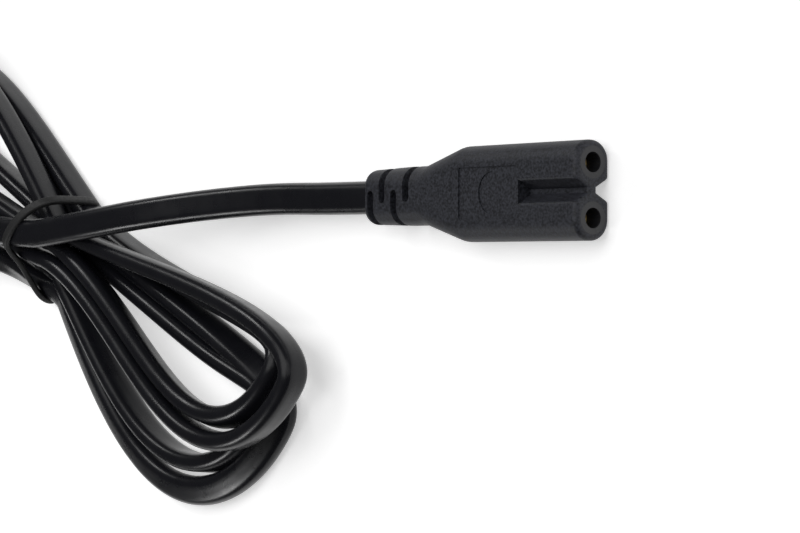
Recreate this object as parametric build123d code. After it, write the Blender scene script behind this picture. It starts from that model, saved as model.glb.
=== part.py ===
"""Two-pole power cord: a figure-eight connector, a flat twin cord tied in a hank, and a flat two-pin plug.

Millimetres. The origin is on the surface that the cord lies on, under the middle of the connector.
+X points out of the connector's mating face, +Y across its two contacts, and +Z up.
"""
import math
import os

from build123d import *

# Connector: overall form
CONNECTOR_THICKNESS = 7.0
CONTACT_PITCH = 8.6
BODY_LENGTH = 29.5
SHOULDER_LENGTH = 9.9
SHOULDER_ROUND = 7.0
NECK_ROUND = 5.0
NECK_WIDTH = 9.9
SIDE_FLAT = 0.5
FACE_ROUND = 0.9

# Connector: figure-eight grooves on both wide faces, and the plain panel on the upper one
GROOVE_LENGTH = 13.6
GROOVE_TOP_WIDTH = 3.7
GROOVE_FLOOR_WIDTH = 0.8
WAIST_THICKNESS = 1.8
WAIST_ROUND = 0.6
PANEL_LENGTH = 14.4
PANEL_WIDTH = 8.4
PANEL_DEPTH = 0.2
PANEL_SETBACK = 0.4
MOON_RADIUS = 3.4
MOON_OFFSET = 1.0

# Strain reliefs: a tapered sleeve with slots cut from its two sides in turn
RELIEF_EXIT_WIDTH = 9.3
RELIEF_EXIT_THICKNESS = 5.8
RELIEF_EXIT_ROUND = 1.6
RELIEF_PLAIN = 2.05
SLOT_COUNT = 4
SLOT_WIDTH = 1.7
SLOT_PITCH = 3.4
SLOT_SETBACK = 2.5
SLOT_REACH = 1.1
JACKET_GRIP = 1.45

# Connector: hard insert and rolled contacts
BRIDGE_TUBE_WALL = 0.95
BRIDGE_WALL = 2.0
BRIDGE_WEB_LENGTH = 4.0
BRIDGE_WEB_THICKNESS = 2.4
CONTACT_BORE = 2.4
CONTACT_WALL = 0.3
CONTACT_SETBACK = 3.0
CONTACT_BARREL = 12.0
CONTACT_SHOULDER = 1.9
CONTACT_FLOOR = 0.5
CONTACT_LEAD_IN = 0.15
CONTACT_SLIT = 0.4
CONTACT_SLIT_LENGTH = 9.0
CRIMP_DIAMETER = 2.2
CRIMP_LENGTH = 5.0
CRIMP_DEPTH = 3.5
SEAT_CLEARANCE = 0.1

# Flat twin cord
CORD_WIDTH = 5.7
CORD_THICKNESS = 3.5
CORD_CORNER = 1.0
CORE_DIAMETER = 2.3
CORE_PITCH = 2.7
STRAND_DIAMETER = 1.1
CORE_STRAIGHT = 2.0
CORE_BEND = 3.5
STRIP_GAP = 0.6

# Hank: two lobes of loops about a tied hub, in the hank's own directions.
# Lobes and eyes are outlines round circles (along, across, radius), and the hub's outline has points (across, up).
HUB_X = -128.0
HUB_Y = -8.0
HANK_ANGLE = -38.0
HUB_OUTLINE = [(11.0, 0.0), (11.0, 9.0), (8.0, 15.8), (-6.5, 15.8), (-15.8, 6.5), (-15.8, 0.0)]
HUB_ALONG = -2.0
HUB_LENGTH = 20.0
HUB_CORNER = 3.0
HUB_ROUND = 2.0
HANK_HEIGHT = 2 * CORD_WIDTH
HANK_ROUND = 2.4
NEAR_LOBE = [(0.0, -2.5, 12.5), (68.0, 21.5, 14.5), (40.0, -4.0, 18.0), (62.0, 4.0, 17.5)]
FAR_LOBE = [(0.0, 0.5, 9.5), (-62.0, -4.5, 18.0)]
EYES = [
    [(61.0, 10.0, 2.6), (36.0, 6.0, 1.5)],
    [(69.0, 27.0, 3.2), (56.0, 22.5, 1.2)],
    [(-60.0, -4.5, 9.0), (-28.0, 0.5, 2.5)],
]
TIE_ALONG = -4.0
TIE_THICKNESS = 1.2
TIE_WIDTH = 1.6

# Loose stretches of the cord, as points chosen along their middle line, from each end to the hank
LEAD_POINTS = [
    (-38.0, 0.0, 3.5),
    (-57.0, 0.5, 4.0),
    (-75.0, -0.4, 7.2),
    (-92.0, -2.0, 11.4),
    (-107.0, -3.7, 13.2),
    (-125.0, -5.2, 13.4),
]
TAIL_POINTS = [
    (-168.0, -7.8, 5.3),
    (-158.0, -10.0, 3.7),
    (-150.0, -12.3, 3.1),
    (-142.3, -15.0, 3.0),
]
ARC_SHARE = 0.45
CORD_STRAIGHT = 6.0

# Plug: place of its front face, and its form
PLUG_X = -240.0
PLUG_Y = -7.0
PLUG_TURN = 180.0
PLUG_CORNER_WIDTH = 36.2
PLUG_THICKNESS = 13.7
PLUG_FLAT_WIDTH = 26.1
PLUG_FRONT_LENGTH = 15.0
PLUG_BODY_LENGTH = 36.0
PLUG_RELIEF_PLAIN = 6.45
PLUG_RELIEF_WIDTH = 9.9
PLUG_RELIEF_THICKNESS = 7.0
PLUG_NECK_WIDTH = 12.4
PLUG_NECK_THICKNESS = 9.4
PLUG_NECK_FLAT = 7.0
PLUG_CORNER_ROUND = 2.2
PLUG_NECK_CORNER_ROUND = 1.6
PLUG_FACE_ROUND = 1.0
PLUG_JACKET_GRIP = 8.45

# Plug: pins, their sleeves and the insert that holds them
PIN_DIAMETER = 4.0
PIN_LENGTH = 19.0
PIN_ROOT_PITCH = 18.6
PIN_TIP_PITCH = 17.5
PIN_TIP_ROUND = 1.6
PIN_SHANK_DIAMETER = 3.0
PIN_SHANK_LENGTH = 8.0
PIN_COLLAR_DIAMETER = 4.6
PIN_COLLAR_LENGTH = 1.2
PIN_COLLAR_SETBACK = 4.0
SLEEVE_LENGTH = 10.0
SLEEVE_SEAT = 2.0
SLEEVE_DIAMETER = 3.6
PLUG_BRIDGE_WIDTH = 27.0
PLUG_BRIDGE_HEIGHT = 7.6
PLUG_BRIDGE_LENGTH = 7.0

# Worked-out places
SLOT_RUN = SLOT_SETBACK + (SLOT_COUNT - 1) * SLOT_PITCH + SLOT_WIDTH / 2
CONNECTOR_WIDTH = CONTACT_PITCH + CONNECTOR_THICKNESS
CONNECTOR_LENGTH = BODY_LENGTH + SHOULDER_LENGTH + SLOT_RUN + RELIEF_PLAIN
FACE_X = CONNECTOR_LENGTH / 2
SHOULDER_X = FACE_X - BODY_LENGTH
NECK_X = SHOULDER_X - SHOULDER_LENGTH
EXIT_X = FACE_X - CONNECTOR_LENGTH
RELIEF_ROOT_X = EXIT_X + SLOT_SETBACK + (SLOT_COUNT - 1) * SLOT_PITCH - SLOT_PITCH / 2
NECK_RUN = NECK_X - RELIEF_ROOT_X
AXIS_Z = CONNECTOR_THICKNESS / 2
JACKET_END_X = EXIT_X + SLOT_RUN + JACKET_GRIP
CONTACT_RADIUS = CONTACT_BORE / 2 + CONTACT_WALL
CONTACT_FRONT_X = FACE_X - CONTACT_SETBACK
CONTACT_SHOULDER_X = CONTACT_FRONT_X - CONTACT_BARREL
CONTACT_NECK_X = CONTACT_SHOULDER_X - CONTACT_SHOULDER
BRIDGE_MOUTH_DIAMETER = 2 * (CONTACT_RADIUS + SEAT_CLEARANCE)
BRIDGE_TUBE_DIAMETER = BRIDGE_MOUTH_DIAMETER + 2 * BRIDGE_TUBE_WALL
BRIDGE_SEAT_X = CONTACT_NECK_X - SEAT_CLEARANCE
BRIDGE_REAR_X = BRIDGE_SEAT_X - BRIDGE_WALL
CRIMP_MOUTH_X = BRIDGE_REAR_X - CRIMP_LENGTH
PLUG_AXIS_Z = PLUG_THICKNESS / 2
PLUG_EXIT_X = -PLUG_BODY_LENGTH - SLOT_RUN - PLUG_RELIEF_PLAIN
PLUG_JACKET_END_X = PLUG_EXIT_X + SLOT_RUN + PLUG_JACKET_GRIP
PIN_LEAN = math.degrees(math.atan2((PIN_ROOT_PITCH - PIN_TIP_PITCH) / 2, PIN_LENGTH))
PIN_CRIMP_MOUTH = -PIN_SHANK_LENGTH - CRIMP_LENGTH
PLUG_PLACE = Pos(PLUG_X, PLUG_Y, 0) * Rot(0, 0, PLUG_TURN)
HANK_PLACE = Pos(HUB_X, HUB_Y, 0) * Rot(0, 0, HANK_ANGLE)
SIDES = {"left": 1, "right": -1}
MARGIN = 1.0
SLIGHT = 0.01


def across(x, z):
    """Plane square to X at that place, with its own x along Y and its own y along Z."""
    return Plane(origin=(x, 0, z), x_dir=(0, 1, 0), z_dir=(1, 0, 0))


def rod(diameter, start_x, end_x, y=0.0, z=0.0):
    """Round bar along X."""
    face = Plane(origin=(start_x, y, z), x_dir=(0, 1, 0), z_dir=(1, 0, 0)) * Circle(diameter / 2)
    return extrude(face, end_x - start_x)


def turned(*profile):
    """Solid turned about X from (x, radius) points."""
    return revolve(make_face(Polyline(*profile, close=True)), axis=Axis.X)


def wire(points, diameter):
    """Round conductor bent along a run of points."""
    path = FilletPolyline(*points, radius=CORE_BEND)
    return sweep(Plane(origin=path @ 0, z_dir=path % 0) * Circle(diameter / 2), path)


def cord_section():
    """Section of the flat cord: a rectangle with round corners."""
    return RectangleRounded(CORD_WIDTH, CORD_THICKNESS, CORD_CORNER)


def flat_cord(points):
    """Flat cord along a route, with each bend as wide as its two runs allow, and its radii."""
    places = [Vector(*point) for point in points]
    radii = []
    for before, corner, after in zip(places, places[1:], places[2:]):
        turn = math.radians((corner - before).get_angle(after - corner))
        shorter = min((corner - before).length, (after - corner).length)
        radii.append(ARC_SHARE * shorter / math.tan(turn / 2))
    path = FilletPolyline(*places, radius=radii)
    start = Plane(origin=path @ 0, x_dir=(path % 0).cross(Vector(0, 0, 1)), z_dir=path % 0)
    cord = sweep(start * cord_section(), path)
    return cord, path, radii


def relief_sleeve(front_x, exit_x, front_width, front_thickness, axis_z):
    """Tapered sleeve of a strain relief, with its cord end rounded."""
    front = across(front_x, axis_z) * RectangleRounded(
        front_width, front_thickness, front_thickness / 2 - SIDE_FLAT / 2)
    end = across(exit_x, axis_z) * RectangleRounded(
        RELIEF_EXIT_WIDTH, RELIEF_EXIT_THICKNESS, RELIEF_EXIT_THICKNESS / 2 - SIDE_FLAT / 2)
    sleeve = loft([end, front])
    return fillet(sleeve.faces().sort_by(Axis.X)[0].edges(), RELIEF_EXIT_ROUND)


def relief_slots(exit_x, axis_z):
    """Cutters for the slots, which come from the right and the left side in turn, past the middle."""
    span = RELIEF_EXIT_WIDTH
    length = span + SLOT_REACH
    height = 2 * CONNECTOR_THICKNESS
    cutters = []
    for index in range(SLOT_COUNT):
        side = -1 if index % 2 == 0 else 1
        slot = SlotOverall(length, SLOT_WIDTH, rotation=90)
        place = Pos(exit_x + SLOT_SETBACK + index * SLOT_PITCH, side * (length / 2 - SLOT_REACH), axis_z)
        cutters.append(place * extrude(slot, height / 2, both=True))
    return cutters


def cord_hole(start_x, end_x, axis_z):
    """Space that the flat cord fills inside a moulding."""
    return extrude(across(start_x, axis_z) * cord_section(), end_x - start_x)


def connector_body():
    """Flat body with round sides, drawn in to the neck of the strain relief."""
    half_width = CONNECTOR_WIDTH / 2
    half_neck = NECK_WIDTH / 2
    half = [(FACE_X, half_width), (SHOULDER_X, half_width), (NECK_X, half_neck), (RELIEF_ROOT_X, half_neck)]
    outline = make_face(Polyline(*half, *[(x, -y) for x, y in reversed(half)], close=True))
    shoulders = outline.vertices().filter_by_position(Axis.X, SHOULDER_X - MARGIN, SHOULDER_X + MARGIN)
    outline = fillet(shoulders, SHOULDER_ROUND)
    necks = outline.vertices().filter_by_position(Axis.X, NECK_X - NECK_RUN / 2, NECK_X + NECK_RUN / 2)
    outline = fillet(necks, NECK_ROUND)
    body = extrude(outline, CONNECTOR_THICKNESS)
    rims = body.faces().filter_by(Axis.Z).edges()
    sides = rims.filter_by_position(Axis.X, RELIEF_ROOT_X + SLIGHT, FACE_X - SLIGHT)
    body = fillet(sides, CONNECTOR_THICKNESS / 2 - SIDE_FLAT / 2)
    return fillet(body.faces().sort_by(Axis.X)[-1].edges(), FACE_ROUND)


def waist_grooves():
    """Tapered groove along the middle of each wide face, which makes the figure eight."""
    depth = (CONNECTOR_THICKNESS - WAIST_THICKNESS) / 2
    slope = (GROOVE_TOP_WIDTH - GROOVE_FLOOR_WIDTH) / 2 / depth
    lip = MARGIN
    lip_half = GROOVE_TOP_WIDTH / 2 + lip * slope
    floor_half = GROOVE_FLOOR_WIDTH / 2
    section = make_face(Polyline(
        (-lip_half, CONNECTOR_THICKNESS / 2 + lip), (-floor_half, WAIST_THICKNESS / 2),
        (floor_half, WAIST_THICKNESS / 2), (lip_half, CONNECTOR_THICKNESS / 2 + lip), close=True))
    upper = extrude(across(FACE_X - GROOVE_LENGTH, AXIS_Z) * section, GROOVE_LENGTH + MARGIN)
    return upper, upper.mirror(Plane.XY.offset(AXIS_Z))


def panel_recess():
    """Plain shallow panel behind the upper groove, with a deeper half-moon thumb mark in it."""
    front_x = FACE_X - GROOVE_LENGTH - PANEL_SETBACK
    middle_x = front_x - PANEL_LENGTH / 2
    top = Plane.XY.offset(CONNECTOR_THICKNESS)
    panel = Pos(middle_x, 0) * RectangleRounded(PANEL_LENGTH, PANEL_WIDTH, PANEL_DEPTH * 2)
    moon_x = middle_x + MOON_OFFSET
    moon = Pos(moon_x, 0) * Circle(MOON_RADIUS)
    moon &= Pos(moon_x - MOON_RADIUS, 0) * Rectangle(2 * MOON_RADIUS, 2 * MOON_RADIUS)
    return extrude(top * panel, -PANEL_DEPTH) + extrude(top * moon, -2 * PANEL_DEPTH)


def bridge_envelope():
    """Outer form of the connector's insert: two tubes joined by a web at the back."""
    web = Pos(BRIDGE_REAR_X + BRIDGE_WEB_LENGTH / 2, 0, AXIS_Z) * Box(
        BRIDGE_WEB_LENGTH, CONTACT_PITCH, BRIDGE_WEB_THICKNESS)
    for side in SIDES.values():
        web += rod(BRIDGE_TUBE_DIAMETER, BRIDGE_REAR_X, FACE_X, side * CONTACT_PITCH / 2, AXIS_Z)
    return web


def connector_bridge():
    """Insert with a bore for each contact and a smaller hole in its back wall for the crimp barrel."""
    bridge = bridge_envelope()
    for side in SIDES.values():
        y = side * CONTACT_PITCH / 2
        bridge -= rod(BRIDGE_MOUTH_DIAMETER, BRIDGE_SEAT_X, FACE_X + MARGIN, y, AXIS_Z)
        bridge -= rod(CRIMP_DIAMETER + 2 * SEAT_CLEARANCE, BRIDGE_REAR_X - MARGIN, FACE_X, y, AXIS_Z)
    return bridge


def contact(side):
    """Rolled socket: a slit barrel for the pin, a shoulder, and a crimp barrel for the strands."""
    bore = CONTACT_BORE / 2
    crimp = CRIMP_DIAMETER / 2
    strand = STRAND_DIAMETER / 2
    bore_end_x = CONTACT_SHOULDER_X + CONTACT_FLOOR
    barrel = turned(
        (CONTACT_FRONT_X, CONTACT_RADIUS), (CONTACT_SHOULDER_X, CONTACT_RADIUS), (CONTACT_NECK_X, crimp),
        (CRIMP_MOUTH_X, crimp), (CRIMP_MOUTH_X, strand), (CRIMP_MOUTH_X + CRIMP_DEPTH, strand),
        (CRIMP_MOUTH_X + CRIMP_DEPTH, 0), (bore_end_x, 0), (bore_end_x, bore),
        (CONTACT_FRONT_X - CONTACT_LEAD_IN, bore), (CONTACT_FRONT_X, bore + CONTACT_LEAD_IN))
    slit = Pos(CONTACT_FRONT_X - CONTACT_SLIT_LENGTH / 2, 0, CONTACT_RADIUS) * Box(
        CONTACT_SLIT_LENGTH, CONTACT_SLIT, 2 * CONTACT_RADIUS)
    return Pos(0, side * CONTACT_PITCH / 2, AXIS_Z) * (barrel - slit)


def connector_core_points(side, end_x):
    """Route of one core, from the end of the sheath out to its contact."""
    inner = side * CORE_PITCH / 2
    outer = side * CONTACT_PITCH / 2
    return [
        (JACKET_END_X, inner, AXIS_Z),
        (JACKET_END_X + CORE_STRAIGHT, inner, AXIS_Z),
        (CRIMP_MOUTH_X - STRIP_GAP - CORE_STRAIGHT, outer, AXIS_Z),
        (end_x, outer, AXIS_Z),
    ]


def connector_wires(side):
    """Insulation, strands and the space that both fill, for one side of the connector."""
    sheath_points = connector_core_points(side, CRIMP_MOUTH_X - STRIP_GAP)
    strand_points = connector_core_points(side, CRIMP_MOUTH_X + CRIMP_DEPTH)
    filled = wire(sheath_points, CORE_DIAMETER)
    strands = wire(strand_points, STRAND_DIAMETER)
    return filled - strands, strands, filled + strands


def connector_housing():
    """Soft moulding round the insert, the crimps and the cord's end, with its segmented strain relief."""
    housing = connector_body()
    housing += relief_sleeve(RELIEF_ROOT_X, EXIT_X, NECK_WIDTH, CONNECTOR_THICKNESS, AXIS_Z)
    for cutter in waist_grooves():
        housing -= cutter
    front_edges = housing.faces().sort_by(Axis.X)[-1].edges()
    notch = front_edges.filter_by_position(Axis.Y, -GROOVE_TOP_WIDTH / 2, GROOVE_TOP_WIDTH / 2)
    housing = fillet(notch, WAIST_ROUND)
    housing -= panel_recess()
    for cutter in relief_slots(EXIT_X, AXIS_Z):
        housing -= cutter
    housing -= cord_hole(EXIT_X - MARGIN, JACKET_END_X, AXIS_Z)
    housing -= bridge_envelope()
    for side in SIDES.values():
        housing -= rod(CRIMP_DIAMETER, CRIMP_MOUTH_X, BRIDGE_REAR_X, side * CONTACT_PITCH / 2, AXIS_Z)
        housing -= connector_wires(side)[2]
    return housing


def plug_section(width, thickness, flat_width, corner_round):
    """Six-sided section of the plug's body, with its corners rounded."""
    half = thickness / 2
    corners = [(width / 2, 0), (flat_width / 2, half), (-flat_width / 2, half)]
    outline = make_face(Polyline(*corners, *[(-x, -y) for x, y in corners], close=True))
    return fillet(outline.vertices(), corner_round)


def pin_place(side):
    """Where one pin's axis meets the plug's front face, leaning towards the other pin."""
    return Pos(0, side * PIN_ROOT_PITCH / 2, PLUG_AXIS_Z) * Rot(0, 0, -side * PIN_LEAN)


def plug_pin(side):
    """Solid pin: round tip, thinner shank under the sleeve, locking collar and crimp barrel."""
    radius = PIN_DIAMETER / 2
    shank = PIN_SHANK_DIAMETER / 2
    collar = PIN_COLLAR_DIAMETER / 2
    strand = STRAND_DIAMETER / 2
    pin = turned(
        (PIN_LENGTH, 0), (PIN_LENGTH, radius), (SLEEVE_LENGTH, radius), (SLEEVE_LENGTH, shank),
        (-PIN_COLLAR_SETBACK, shank), (-PIN_COLLAR_SETBACK, collar),
        (-PIN_COLLAR_SETBACK - PIN_COLLAR_LENGTH, collar),
        (-PIN_COLLAR_SETBACK - PIN_COLLAR_LENGTH, shank), (PIN_CRIMP_MOUTH, shank),
        (PIN_CRIMP_MOUTH, strand), (PIN_CRIMP_MOUTH + CRIMP_DEPTH, strand),
        (PIN_CRIMP_MOUTH + CRIMP_DEPTH, 0))
    pin = fillet(pin.faces().sort_by(Axis.X)[-1].edges(), PIN_TIP_ROUND)
    return pin_place(side) * pin


def pin_sleeve(side):
    """Insulating sleeve moulded on the pin's root."""
    sleeve = rod(SLEEVE_DIAMETER, -SLEEVE_SEAT, SLEEVE_LENGTH)
    return pin_place(side) * (sleeve - rod(PIN_SHANK_DIAMETER, -SLEEVE_SEAT, SLEEVE_LENGTH))


def pin_envelope(side):
    """Space that a pin and its sleeve fill behind the plug's front face."""
    space = rod(PIN_SHANK_DIAMETER, PIN_CRIMP_MOUTH, MARGIN)
    space += rod(SLEEVE_DIAMETER, -SLEEVE_SEAT, MARGIN)
    space += rod(PIN_COLLAR_DIAMETER, -PIN_COLLAR_SETBACK - PIN_COLLAR_LENGTH, -PIN_COLLAR_SETBACK)
    return pin_place(side) * space


def plug_bridge_envelope():
    """Outer form of the insert that holds the pins: a plate with rounded ends."""
    plate = across(-PLUG_BRIDGE_LENGTH, PLUG_AXIS_Z) * SlotOverall(PLUG_BRIDGE_WIDTH, PLUG_BRIDGE_HEIGHT)
    return extrude(plate, PLUG_BRIDGE_LENGTH)


def plug_bridge():
    """Insert, with the pins moulded in."""
    bridge = plug_bridge_envelope()
    for side in SIDES.values():
        bridge -= pin_envelope(side)
    return bridge


def plug_core_points(side, end_x):
    """Route of one core in the plug, from the end of the sheath out to the back of its pin."""
    inner = side * CORE_PITCH / 2
    back = pin_place(side) * Pos(PIN_CRIMP_MOUTH - STRIP_GAP - CORE_STRAIGHT, 0, 0)
    end = pin_place(side) * Pos(end_x, 0, 0)
    return [
        (PLUG_JACKET_END_X, inner, PLUG_AXIS_Z),
        (PLUG_JACKET_END_X + CORE_STRAIGHT, inner, PLUG_AXIS_Z),
        back.position,
        end.position,
    ]


def plug_wires(side):
    """Insulation, strands and the space that both fill, for one side of the plug."""
    filled = wire(plug_core_points(side, PIN_CRIMP_MOUTH - STRIP_GAP), CORE_DIAMETER)
    strands = wire(plug_core_points(side, PIN_CRIMP_MOUTH + CRIMP_DEPTH), STRAND_DIAMETER)
    return filled - strands, strands, filled + strands


def plug_housing():
    """Soft moulding of the plug: a six-sided front, a grip drawn in to the neck, and a strain relief."""
    front_section = plug_section(PLUG_CORNER_WIDTH, PLUG_THICKNESS, PLUG_FLAT_WIDTH, PLUG_CORNER_ROUND)
    neck_section = plug_section(PLUG_NECK_WIDTH, PLUG_NECK_THICKNESS, PLUG_NECK_FLAT, PLUG_NECK_CORNER_ROUND)
    front = extrude(across(-PLUG_FRONT_LENGTH, PLUG_AXIS_Z) * front_section, PLUG_FRONT_LENGTH)
    front = fillet(front.faces().sort_by(Axis.X)[-1].edges(), PLUG_FACE_ROUND)
    grip = loft([
        across(-PLUG_BODY_LENGTH, PLUG_AXIS_Z) * neck_section,
        across(-PLUG_FRONT_LENGTH, PLUG_AXIS_Z) * front_section], ruled=True)
    sleeve = relief_sleeve(
        -PLUG_BODY_LENGTH + MARGIN, PLUG_EXIT_X, PLUG_RELIEF_WIDTH, PLUG_RELIEF_THICKNESS, PLUG_AXIS_Z)
    housing = front + grip + sleeve
    for cutter in relief_slots(PLUG_EXIT_X, PLUG_AXIS_Z):
        housing -= cutter
    housing -= cord_hole(PLUG_EXIT_X - MARGIN, PLUG_JACKET_END_X, PLUG_AXIS_Z)
    housing -= plug_bridge_envelope()
    for side in SIDES.values():
        housing -= pin_envelope(side)
        housing -= plug_wires(side)[2]
    return housing


def hull_of(circles):
    """Outline drawn tight round some circles."""
    return make_hull([(Pos(along, cross) * Circle(radius)).edge() for along, cross, radius in circles])


def hub_section(grow, floor, along):
    """Section through the tied hub at one place along it, grown by an amount and cut off level at a floor."""
    outline = fillet(make_face(Polyline(*HUB_OUTLINE, close=True)).vertices(), HUB_CORNER)
    if grow:
        outline = offset(outline, grow)
    box = outline.bounding_box()
    above = Pos(box.center().X, floor + box.size.Y / 2) * Rectangle(2 * box.size.X, box.size.Y)
    return across(along, 0) * (outline & above)


def tie_inside():
    """Space inside the tie."""
    section = hub_section(-TIE_THICKNESS / 2, TIE_THICKNESS, TIE_ALONG - TIE_WIDTH / 2)
    return extrude(section, TIE_WIDTH)


def cord_tie():
    """Closed band round the hub, in the hank's own directions."""
    section = hub_section(TIE_THICKNESS / 2, 0, TIE_ALONG - TIE_WIDTH / 2)
    return extrude(section, TIE_WIDTH) - tie_inside()


def cord_hank():
    """Outer form of the hank: a bow of two lobes of loops, with eyes, and a tied hub in the middle."""
    plan = hull_of(NEAR_LOBE) + hull_of(FAR_LOBE)
    for eye in EYES:
        plan -= hull_of(eye)
    bow = extrude(plan, HANK_HEIGHT)
    bow = fillet(bow.faces().filter_by(Axis.Z).edges(), HANK_ROUND)
    hub = extrude(hub_section(0, 0, HUB_ALONG - HUB_LENGTH / 2), HUB_LENGTH)
    hub = fillet(hub.faces().filter_by(Axis.X).edges(), HUB_ROUND)
    span = 2 * hub.bounding_box().size.Y
    groove = Pos(TIE_ALONG, 0, span / 2) * Box(TIE_WIDTH, span, 2 * span)
    return bow + hub - (groove - tie_inside())


def main():
    os.makedirs("parts", exist_ok=True)
    hank = HANK_PLACE * cord_hank()
    lead, lead_path, lead_radii = flat_cord([(JACKET_END_X, 0, AXIS_Z)] + LEAD_POINTS)
    plug_end = (PLUG_PLACE * Pos(PLUG_JACKET_END_X, 0, PLUG_AXIS_Z)).position
    plug_exit = (PLUG_PLACE * Pos(PLUG_EXIT_X - CORD_STRAIGHT, 0, PLUG_AXIS_Z)).position
    tail, tail_path, tail_radii = flat_cord([plug_end, plug_exit] + TAIL_POINTS)
    section = cord_section().area
    stretches = {"lead": (lead, lead_path, lead_radii), "tail": (tail, tail_path, tail_radii)}
    for name, (cord, path, radii) in stretches.items():
        print(name, "radii", [round(radius, 1) for radius in radii])
        print(name, "volume", round(cord.volume, 1), "section times length", round(section * path.length, 1))

    nodes = {
        "connector_housing": connector_housing(),
        "connector_bridge": connector_bridge(),
        "cord_lead": lead - hank,
        "cord_hank": hank,
        "cord_tail": tail - hank,
        "cord_tie": HANK_PLACE * cord_tie(),
        "plug_housing": PLUG_PLACE * plug_housing(),
        "plug_bridge": PLUG_PLACE * plug_bridge(),
    }
    for name, side in SIDES.items():
        sheath, strands, _ = connector_wires(side)
        nodes[f"contact_{name}"] = contact(side)
        nodes[f"connector_core_{name}"] = sheath
        nodes[f"connector_strands_{name}"] = strands
        sheath, strands, _ = plug_wires(side)
        nodes[f"plug_core_{name}"] = PLUG_PLACE * sheath
        nodes[f"plug_strands_{name}"] = PLUG_PLACE * strands
        nodes[f"plug_pin_{name}"] = PLUG_PLACE * plug_pin(side)
        nodes[f"pin_sleeve_{name}"] = PLUG_PLACE * pin_sleeve(side)
    for name, solid in nodes.items():
        export_step(solid, f"parts/{name}.step")


main()
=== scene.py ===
"""Looks of a two-pole power cord: moulded connector and plug, and a flat cord tied in a hank.

Metres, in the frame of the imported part: +X out of the connector's mating face, +Z up, floor at Z = 0.
"""
import math

import bpy
from mathutils import Matrix, Vector


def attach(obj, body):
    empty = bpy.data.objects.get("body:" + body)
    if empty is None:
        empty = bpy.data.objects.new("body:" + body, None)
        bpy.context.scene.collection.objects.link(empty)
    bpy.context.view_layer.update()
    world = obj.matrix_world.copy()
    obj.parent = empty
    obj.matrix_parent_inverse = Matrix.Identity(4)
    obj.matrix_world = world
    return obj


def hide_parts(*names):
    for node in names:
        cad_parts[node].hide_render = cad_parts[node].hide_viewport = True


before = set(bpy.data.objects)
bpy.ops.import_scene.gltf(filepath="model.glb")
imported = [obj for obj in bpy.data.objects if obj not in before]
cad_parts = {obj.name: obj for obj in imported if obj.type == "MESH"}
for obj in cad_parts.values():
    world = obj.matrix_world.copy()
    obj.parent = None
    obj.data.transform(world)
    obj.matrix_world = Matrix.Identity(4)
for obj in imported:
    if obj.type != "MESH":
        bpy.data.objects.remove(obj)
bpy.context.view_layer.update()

# Camera of the photograph: picture width and focal length in pixels, sensor width in millimetres,
# place, how far it looks down in degrees, and the nearest distance that it sees.
# It looks along -X and down, with +Y up in the picture.
PHOTO_WIDTH = 800
FOCAL_PIXELS = 2500.0
SENSOR = 36.0
CAMERA_PLACE = (0.31184, -0.01175, 0.26327)
CAMERA_PITCH = 38.0
CLIP_START = 0.01

# Flat cord: its section, how finely lines and sections are divided, and the direction that its wide
# side is turned from
CORD_WIDTH = 0.0057
CORD_THICKNESS = 0.0035
CORD_CORNER = 0.0016
SAMPLES_PER_POINT = 6
CORNER_STEPS = 5
FLAT_STEPS = 3
UPRIGHT = Vector((0, 0, 1))

# Loose stretches of the cord: places, and how far its wide side is turned from upright, in degrees
LEAD_POINTS = [
    (-0.0125, 0.0, 0.0035, 90),
    (-0.038, 0.0, 0.0035, 90),
    (-0.057, 0.0005, 0.0040, 90),
    (-0.075, -0.0004, 0.0072, 90),
    (-0.092, -0.0020, 0.0114, 90),
    (-0.107, -0.0037, 0.0132, 90),
    (-0.125, -0.0052, 0.0134, 88),
]
TAIL_POINTS = [
    (-0.1423, -0.0150, 0.0030, 38),
    (-0.150, -0.0123, 0.0031, 52),
    (-0.158, -0.0100, 0.0037, 68),
    (-0.168, -0.0078, 0.0053, 84),
    (-0.178, -0.0070, 0.00685, 90),
    (-0.206, -0.0070, 0.00685, 90),
]

# Hank: its tied middle, its turn on the floor, and its loops in the order that they were wound.
# Each loop leans sideways, and goes out to its tip and back. Both ways have a place across the tied
# middle, which fades out along the loop, a sideways bow, a height and a turn from upright in degrees.
# "full" says how near to the tip the bow is widest, and "late" how near to the tip the height and the
# turn change to those of the tip. A way with a small bow swings out just before the tip, so that the
# tip is bent less sharply.
NEAR = 1
FAR = -1
HUB = Vector((-0.128, -0.008, 0.0))
HANK_TURN = Matrix.Rotation(math.radians(-38.0), 3, "Z")
POINTS_PER_LOOP = 24
HUB_FADE = 3
TIP_SWING = 0.0135
TIP_LATE = 9
UPPER = 0.0088
LOWER = 0.0030
FAR_LOOPS = [
    dict(length=0.082, lean=0.13, late=3, tip_z=0.0096, tip_roll=10,
         out_hub=0.0036, out_bow=0.0200, out_full=1.0, out_z=0.0136, out_roll=84,
         back_hub=0.0055, back_bow=0.0210, back_full=1.0, back_z=UPPER, back_roll=-5),
    dict(length=0.077, lean=0.14, late=6, tip_z=UPPER, tip_roll=8,
         out_hub=-0.0030, out_bow=0.0160, out_full=1.0, out_z=UPPER, out_roll=12,
         back_hub=0.0090, back_bow=0.0188, back_full=1.0, back_z=LOWER, back_roll=0),
    dict(length=0.056, lean=0.22, late=6, tip_z=UPPER, tip_roll=4,
         out_hub=0.0015, out_bow=0.0040, out_full=2.5, out_z=UPPER, out_roll=4,
         back_hub=0.0018, back_bow=0.0025, back_full=1.0, back_z=LOWER, back_roll=0),
    dict(length=0.073, lean=0.14, late=3, tip_z=LOWER, tip_roll=10,
         out_hub=-0.0075, out_bow=0.0160, out_full=1.0, out_z=LOWER, out_roll=14,
         back_hub=0.0054, back_bow=0.0145, back_full=1.0, back_z=LOWER, back_roll=0),
]
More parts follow.
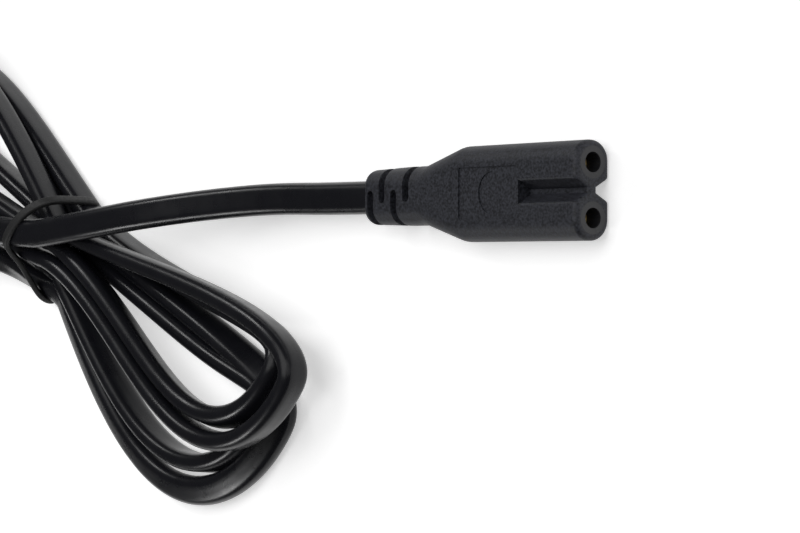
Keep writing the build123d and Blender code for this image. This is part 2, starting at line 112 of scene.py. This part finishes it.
NEAR_LOOPS = [
    dict(length=0.0815, lean=0.40, late=3, tip_z=0.0096, tip_roll=-8,
         out_hub=0.0055, out_bow=0.0119, out_full=1.5, out_z=UPPER, out_roll=-12,
         back_hub=-0.0030, back_bow=0.0326, back_full=2.4, back_z=UPPER, back_roll=18),
    dict(length=0.0757, lean=0.397, late=8, tip_z=0.0084, tip_roll=15,
         out_hub=0.0090, out_bow=0.0068, out_full=1.7, out_z=LOWER, out_roll=0,
         back_hub=0.0015, back_bow=0.0270, back_full=3.0, back_z=UPPER, back_roll=24),
    dict(length=0.0721, lean=0.246, late=3, tip_z=LOWER, tip_roll=20,
         out_hub=0.0018, out_bow=0.0023, out_full=1.0, out_z=LOWER, out_roll=0,
         back_hub=-0.0075, back_bow=0.0296, back_full=1.16, back_z=LOWER, back_roll=-18),
    dict(length=0.0757, lean=0.240, late=3, tip_z=0.0024, tip_roll=70,
         out_hub=0.0054, out_bow=0.0085, out_full=1.2, out_z=LOWER, out_roll=0,
         back_hub=-0.0105, back_bow=0.0364, back_full=1.0, back_z=0.0024, back_roll=72),
]

# Tie round the middle: its section, and its places along, across and above the hank
TIE_WIDTH = 0.0020
TIE_THICKNESS = 0.0012
TIE_CORNER = 0.0005
TIE_POINTS = [
    (-0.0010, 0.0110, 0.0010),
    (-0.0010, 0.0113, 0.0070),
    (-0.0020, 0.0105, 0.0125),
    (-0.0040, 0.0060, 0.0152),
    (-0.0055, 0.0000, 0.0160),
    (-0.0060, -0.0040, 0.0154),
    (-0.0055, -0.0075, 0.0112),
    (-0.0045, -0.0115, 0.0077),
    (-0.0035, -0.0155, 0.0042),
    (-0.0030, -0.0162, 0.0010),
    (-0.0025, -0.0120, 0.0006),
    (-0.0018, 0.0060, 0.0006),
]

# Materials: white, the values that a noise mostly lies between, and those at which a tint has its colours
WHITE = (1, 1, 1, 1)
NOISE_LOW = 0.3
NOISE_HIGH = 0.7
TINT_STOPS = (0.35, 0.65)

# Light: the lamps and what they face, and the surroundings
LAMPS = {
    "key": dict(power=4.6, size=1.30, place=(1.00, 0.40, 0.80)),
    "top": dict(power=9.6, size=1.30, place=(0.05, 0.38, 1.20)),
    "rim_left": dict(power=0.80, size=0.15, place=(-0.55, 0.45, 0.45)),
    "rim_right": dict(power=1.10, size=0.17, place=(-0.55, -0.50, 0.40)),
}
LAMP_TARGET = (-0.06, 0.0, 0.0)
WORLD_STRENGTH = 0.05

# Floor: half its side, its colour and roughness, and its glow as it is seen
FLOOR_REACH = 3
FLOOR_COLOUR = (0.9, 0.9, 0.9)
FLOOR_ROUGHNESS = 0.9
FLOOR_GLOW = 0.46


def hank_place(along, across, height):
    """Place in the frame of a point in the hank's own directions."""
    return HUB + HANK_TURN @ Vector((along, across, height))


def loop_points(loop, side, skip=0):
    """Places and turns along one loop of the hank, out from the tied middle and back."""
    points = []
    for step in range(skip, POINTS_PER_LOOP):
        turn = 2 * math.pi * step / POINTS_PER_LOOP
        way = "out" if turn < math.pi else "back"
        share = (1 - math.cos(turn)) / 2
        along = loop["length"] * share
        bow = loop[way + "_bow"]
        swing = max(TIP_SWING - bow, 0) * share ** TIP_LATE
        swerve = math.sin(turn) * (bow * math.sin(turn / 2) ** loop[way + "_full"] + swing)
        hub = loop[way + "_hub"] * (1 - share) ** HUB_FADE
        across = side * (swerve + loop["lean"] * along) + hub
        change = share ** loop["late"]
        height = loop[way + "_z"] + (loop["tip_z"] - loop[way + "_z"]) * change
        roll = loop[way + "_roll"] + (loop["tip_roll"] - loop[way + "_roll"]) * change
        points.append((*hank_place(side * along, across, height), roll))
    return points


def cord_points():
    """Whole route: the lead, the loops by turns on the far and the near side, and the tail."""
    points = list(LEAD_POINTS)
    for index, (far, near) in enumerate(zip(FAR_LOOPS, NEAR_LOOPS)):
        # The lead ends where the first loop begins
        points += loop_points(far, FAR, skip=1 if index == 0 else 0)
        points += loop_points(near, NEAR)
    return points + TAIL_POINTS


def smooth_line(points, closed=False):
    """Points along the smooth line that some control points give."""
    curve = bpy.data.curves.new("route", "CURVE")
    curve.dimensions = "3D"
    curve.resolution_u = SAMPLES_PER_POINT
    spline = curve.splines.new("NURBS")
    spline.points.add(len(points) - 1)
    for control, place in zip(spline.points, points):
        control.co = (*place, 1)
    spline.order_u = 3
    spline.use_endpoint_u = not closed
    spline.use_cyclic_u = closed
    carrier = bpy.data.objects.new("route", curve)
    bpy.context.scene.collection.objects.link(carrier)
    bpy.context.view_layer.update()
    evaluated = carrier.evaluated_get(bpy.context.evaluated_depsgraph_get())
    line = bpy.data.meshes.new_from_object(evaluated)
    samples = [vertex.co.copy() for vertex in line.vertices]
    bpy.data.objects.remove(carrier)
    bpy.data.curves.remove(curve)
    bpy.data.meshes.remove(line)
    return samples


def rounded_section(width, thickness, corner):
    """Outline of a flat strip with round corners, as (along its width, across it)."""
    reach_x = width / 2 - corner
    reach_y = thickness / 2 - corner
    corners = [(1, -1), (1, 1), (-1, 1), (-1, -1)]

    def on_arc(x, y, angle):
        """Point at an angle on the arc of one corner."""
        return x * reach_x + corner * math.cos(angle), y * reach_y + corner * math.sin(angle)

    outline = []
    for quarter, (x, y) in enumerate(corners):
        for step in range(CORNER_STEPS + 1):
            angle = math.pi / 2 * (quarter - 1 + step / CORNER_STEPS)
            outline.append(on_arc(x, y, angle))
        end = Vector(outline[-1])
        begin = Vector(on_arc(*corners[(quarter + 1) % len(corners)], angle))
        outline += [tuple(end.lerp(begin, step / FLAT_STEPS)) for step in range(1, FLAT_STEPS)]
    return outline


def mesh_object(name, vertices, faces, material):
    """New smooth-shaded mesh object."""
    mesh = bpy.data.meshes.new(name)
    mesh.from_pydata(vertices, [], faces)
    mesh.polygons.foreach_set("use_smooth", [True] * len(mesh.polygons))
    mesh.materials.append(material)
    piece = bpy.data.objects.new(name, mesh)
    bpy.context.scene.collection.objects.link(piece)
    return piece


def tube(name, line, frames, section, material, closed=False):
    """Mesh that carries a section along a line, with its width and depth directions at each place."""
    vertices = []
    for place, (width, depth) in zip(line, frames):
        vertices += [place + width * x + depth * y for x, y in section]
    count, ring = len(line), len(section)
    faces = []
    for row in range(count if closed else count - 1):
        here, there = row * ring, (row + 1) % count * ring
        for one in range(ring):
            other = (one + 1) % ring
            faces.append((here + one, there + one, there + other, here + other))
    if not closed:
        faces.append(tuple(range(ring)))
        faces.append(tuple(reversed(range((count - 1) * ring, count * ring))))
    return mesh_object(name, vertices, faces, material)


def direction(line, index, closed=False):
    """Way that a line goes at one of its points."""
    count = len(line)
    ahead = line[(index + 1) % count] if closed else line[min(index + 1, count - 1)]
    behind = line[index - 1] if closed else line[max(index - 1, 0)]
    return (ahead - behind).normalized()


def turned_frames(line, rolls):
    """Width and depth directions along a line, with the width turned from upright."""
    frames = []
    for index, roll in enumerate(rolls):
        along = direction(line, index)
        side = along.cross(UPRIGHT).normalized()
        width = side.cross(along) * math.cos(roll) + side * math.sin(roll)
        frames.append((width, along.cross(width)))
    return frames


def band_frames(line):
    """Width and depth directions of a closed band round the hank, with its width along the hank."""
    axis = HANK_TURN @ Vector((1, 0, 0))
    frames = []
    for index in range(len(line)):
        along = direction(line, index, closed=True)
        depth = along.cross(axis).normalized()
        frames.append((depth.cross(along), depth))
    return frames


def surface(name, colour, roughness, metallic=0.0):
    """New material with its principled shader set, and that shader."""
    material = bpy.data.materials.new(name)
    material.use_nodes = True
    shader = material.node_tree.nodes["Principled BSDF"]
    shader.inputs["Base Color"].default_value = (*colour, 1)
    shader.inputs["Roughness"].default_value = roughness
    shader.inputs["Metallic"].default_value = metallic
    return material, shader


def grain(material, scale, detail=2.0):
    """Noise in the object's own coordinates, as the socket that gives it."""
    nodes, links = material.node_tree.nodes, material.node_tree.links
    places = nodes.new("ShaderNodeTexCoord")
    noise = nodes.new("ShaderNodeTexNoise")
    noise.inputs["Scale"].default_value = scale
    noise.inputs["Detail"].default_value = detail
    links.new(places.outputs["Object"], noise.inputs["Vector"])
    return noise.outputs["Fac"]


def vary(material, source, shader, value, low, high):
    """Lets a noise carry one of the shader's values between two limits."""
    limits = material.node_tree.nodes.new("ShaderNodeMapRange")
    limits.inputs["From Min"].default_value = NOISE_LOW
    limits.inputs["From Max"].default_value = NOISE_HIGH
    limits.inputs["To Min"].default_value = low
    limits.inputs["To Max"].default_value = high
    material.node_tree.links.new(source, limits.inputs["Value"])
    material.node_tree.links.new(limits.outputs["Result"], shader.inputs[value])


def tint(material, source, shader, dark, light):
    """Lets a noise carry the base colour between two colours."""
    ramp = material.node_tree.nodes.new("ShaderNodeValToRGB")
    for stop, place, colour in zip(ramp.color_ramp.elements, TINT_STOPS, (dark, light)):
        stop.position = place
        stop.color = (*colour, 1)
    material.node_tree.links.new(source, ramp.inputs["Fac"])
    material.node_tree.links.new(ramp.outputs["Color"], shader.inputs["Base Color"])


def emboss(material, source, shader, depth):
    """Raises and lowers the surface by a noise, as far as light shows it."""
    bump = material.node_tree.nodes.new("ShaderNodeBump")
    bump.inputs["Strength"].default_value = 1.0
    bump.inputs["Distance"].default_value = depth
    material.node_tree.links.new(source, bump.inputs["Height"])
    material.node_tree.links.new(bump.outputs["Normal"], shader.inputs["Normal"])


def moulding_material():
    """Charcoal moulding with the fine even grain of a spark-eroded mould."""
    material, shader = surface("moulding", colour=(0.020, 0.021, 0.027), roughness=0.55)
    shader.inputs["Specular IOR Level"].default_value = 0.35
    speckle = grain(material, scale=2400, detail=3.0)
    tint(material, speckle, shader, dark=(0.006, 0.0065, 0.009), light=(0.034, 0.036, 0.046))
    vary(material, speckle, shader, "Roughness", low=0.48, high=0.62)
    emboss(material, speckle, shader, depth=0.00004)
    return material


def insert_material():
    """Hard smooth black of the inserts."""
    material, shader = surface("insert", colour=(0.015, 0.0155, 0.018), roughness=0.4)
    vary(material, grain(material, scale=900), shader, "Roughness", low=0.35, high=0.47)
    return material


def sheath_material():
    """Soft, slightly shiny black of the cord."""
    material, shader = surface("cord_sheath", colour=(0.0070, 0.0072, 0.0095), roughness=0.3)
    shader.inputs["Specular IOR Level"].default_value = 0.28
    waves = grain(material, scale=260)
    vary(material, waves, shader, "Roughness", low=0.25, high=0.33)
    emboss(material, waves, shader, depth=0.00002)
    return material


def tie_material():
    """Dull black of the tie."""
    material, shader = surface("tie", colour=(0.006, 0.006, 0.0065), roughness=0.6)
    vary(material, grain(material, scale=2000), shader, "Roughness", low=0.5, high=0.7)
    return material


def metal_material(name, dark, light, smooth, rough, scale):
    """Bare metal whose tone and shine change a little from place to place."""
    material, shader = surface(name, colour=light, roughness=smooth, metallic=1.0)
    marks = grain(material, scale, detail=4.0)
    tint(material, marks, shader, dark, light)
    vary(material, marks, shader, "Roughness", smooth, rough)
    return material


def core_material(name, dark, light):
    """Coloured insulation of one core."""
    material, shader = surface(name, colour=light, roughness=0.4)
    cloud = grain(material, scale=700)
    tint(material, cloud, shader, dark, light)
    vary(material, cloud, shader, "Roughness", low=0.35, high=0.5)
    return material


def dress_nodes(sheath, tie):
    insert = insert_material()
    kit = {
        "housing": moulding_material(),
        "bridge": insert,
        "pin_sleeve": insert,
        "contact_": metal_material("contact_brass", dark=(0.34, 0.25, 0.11), light=(0.46, 0.35, 0.17),
                                   smooth=0.3, rough=0.45, scale=500),
        "plug_pin": metal_material("pin_metal", dark=(0.58, 0.56, 0.52), light=(0.70, 0.68, 0.64),
                                   smooth=0.18, rough=0.32, scale=400),
        "strands": metal_material("copper", dark=(0.70, 0.30, 0.17), light=(0.86, 0.42, 0.26),
                                  smooth=0.3, rough=0.5, scale=1500),
        "core_left": core_material("core_brown", dark=(0.055, 0.022, 0.010),
                                   light=(0.085, 0.035, 0.016)),
        "core_right": core_material("core_blue", dark=(0.012, 0.050, 0.170),
                                    light=(0.020, 0.075, 0.240)),
        "cord_tie": tie,
        "cord_": sheath,
    }
    for name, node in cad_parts.items():
        node.data.materials.clear()
        node.data.materials.append(next(kit[word] for word in kit if word in name))


def build_tie(material):
    """Thin band round the middle of the hank, in place of the plain one."""
    line = smooth_line([hank_place(*point) for point in TIE_POINTS], closed=True)
    section = rounded_section(TIE_WIDTH, TIE_THICKNESS, TIE_CORNER)
    tie = tube("tie_band", line, band_frames(line), section, material, closed=True)
    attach(tie, "root")
    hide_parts("cord_tie")
    return tie


def build_cord(material, tie):
    """The whole cord as one tube, in place of the plain solids of its stretches and its hank."""
    points = cord_points()
    line = smooth_line([point[:3] for point in points])
    # The turns are smoothed as the places are, along X of a line of their own
    turns = smooth_line([(point[3], 0, 0) for point in points])
    rolls = [math.radians(turn.x) for turn in turns]
    section = rounded_section(CORD_WIDTH, CORD_THICKNESS, CORD_CORNER)
    cord = tube("flat_cord", line, turned_frames(line, rolls), section, material)
    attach(cord, "root")
    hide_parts("cord_lead", "cord_hank", "cord_tail")


def floor_material():
    """Pale floor, with a glow of its own where it is seen, also in shiny and clear surfaces."""
    material, shader = surface("floor", FLOOR_COLOUR, FLOOR_ROUGHNESS)
    nodes, links = material.node_tree.nodes, material.node_tree.links
    rays = nodes.new("ShaderNodeLightPath")
    seen = rays.outputs["Is Camera Ray"]
    for way in ("Is Glossy Ray", "Is Transmission Ray"):
        either = nodes.new("ShaderNodeMath")
        either.operation = "MAXIMUM"
        links.new(seen, either.inputs[0])
        links.new(rays.outputs[way], either.inputs[1])
        seen = either.outputs["Value"]
    glow = nodes.new("ShaderNodeMath")
    glow.operation = "MULTIPLY"
    glow.inputs[1].default_value = FLOOR_GLOW
    links.new(seen, glow.inputs[0])
    links.new(glow.outputs["Value"], shader.inputs["Emission Strength"])
    shader.inputs["Emission Color"].default_value = WHITE
    return material


def build_floor():
    """Square floor under the part."""
    corners = [(x * FLOOR_REACH, y * FLOOR_REACH, 0) for x, y in ((-1, -1), (1, -1), (1, 1), (-1, 1))]
    floor = mesh_object("floor", corners, [(0, 1, 2, 3)], floor_material())


def add_lamp(name, power, size, place):
    """Square soft lamp that faces the part between its connector and its hank."""
    lamp = bpy.data.lights.new(name, "AREA")
    lamp.energy = power
    lamp.size = size
    holder = bpy.data.objects.new(name, lamp)
    turn = (Vector(LAMP_TARGET) - Vector(place)).to_track_quat("-Z", "Y").to_matrix().to_4x4()
    holder.matrix_world = Matrix.Translation(place) @ turn
    bpy.context.scene.collection.objects.link(holder)


def build_light():
    """Soft lamps and even surroundings."""
    scene = bpy.context.scene
    scene.view_settings.view_transform = "Standard"
    world = bpy.data.worlds.new("studio")
    world.use_nodes = True
    background = world.node_tree.nodes["Background"]
    background.inputs["Strength"].default_value = WORLD_STRENGTH
    background.inputs["Color"].default_value = WHITE
    scene.world = world
    for name, lamp in LAMPS.items():
        add_lamp(name, **lamp)


def build_camera():
    """The photograph's camera."""
    scene = bpy.context.scene
    camera = bpy.data.objects.new("camera", bpy.data.cameras.new("camera"))
    pitch = math.radians(CAMERA_PITCH)
    right = Vector((math.sin(pitch), 0, -math.cos(pitch)))
    up = Vector((0, 1, 0))
    turn = Matrix((right, up, right.cross(up))).transposed().to_4x4()
    camera.matrix_world = Matrix.Translation(CAMERA_PLACE) @ turn
    camera.data.sensor_width = SENSOR
    camera.data.lens = FOCAL_PIXELS / PHOTO_WIDTH * SENSOR
    camera.data.clip_start = CLIP_START
    scene.collection.objects.link(camera)
    scene.camera = camera


sheath = sheath_material()
tie_black = tie_material()
dress_nodes(sheath, tie_black)
build_cord(sheath, build_tie(tie_black))
build_floor()
build_light()
build_camera()
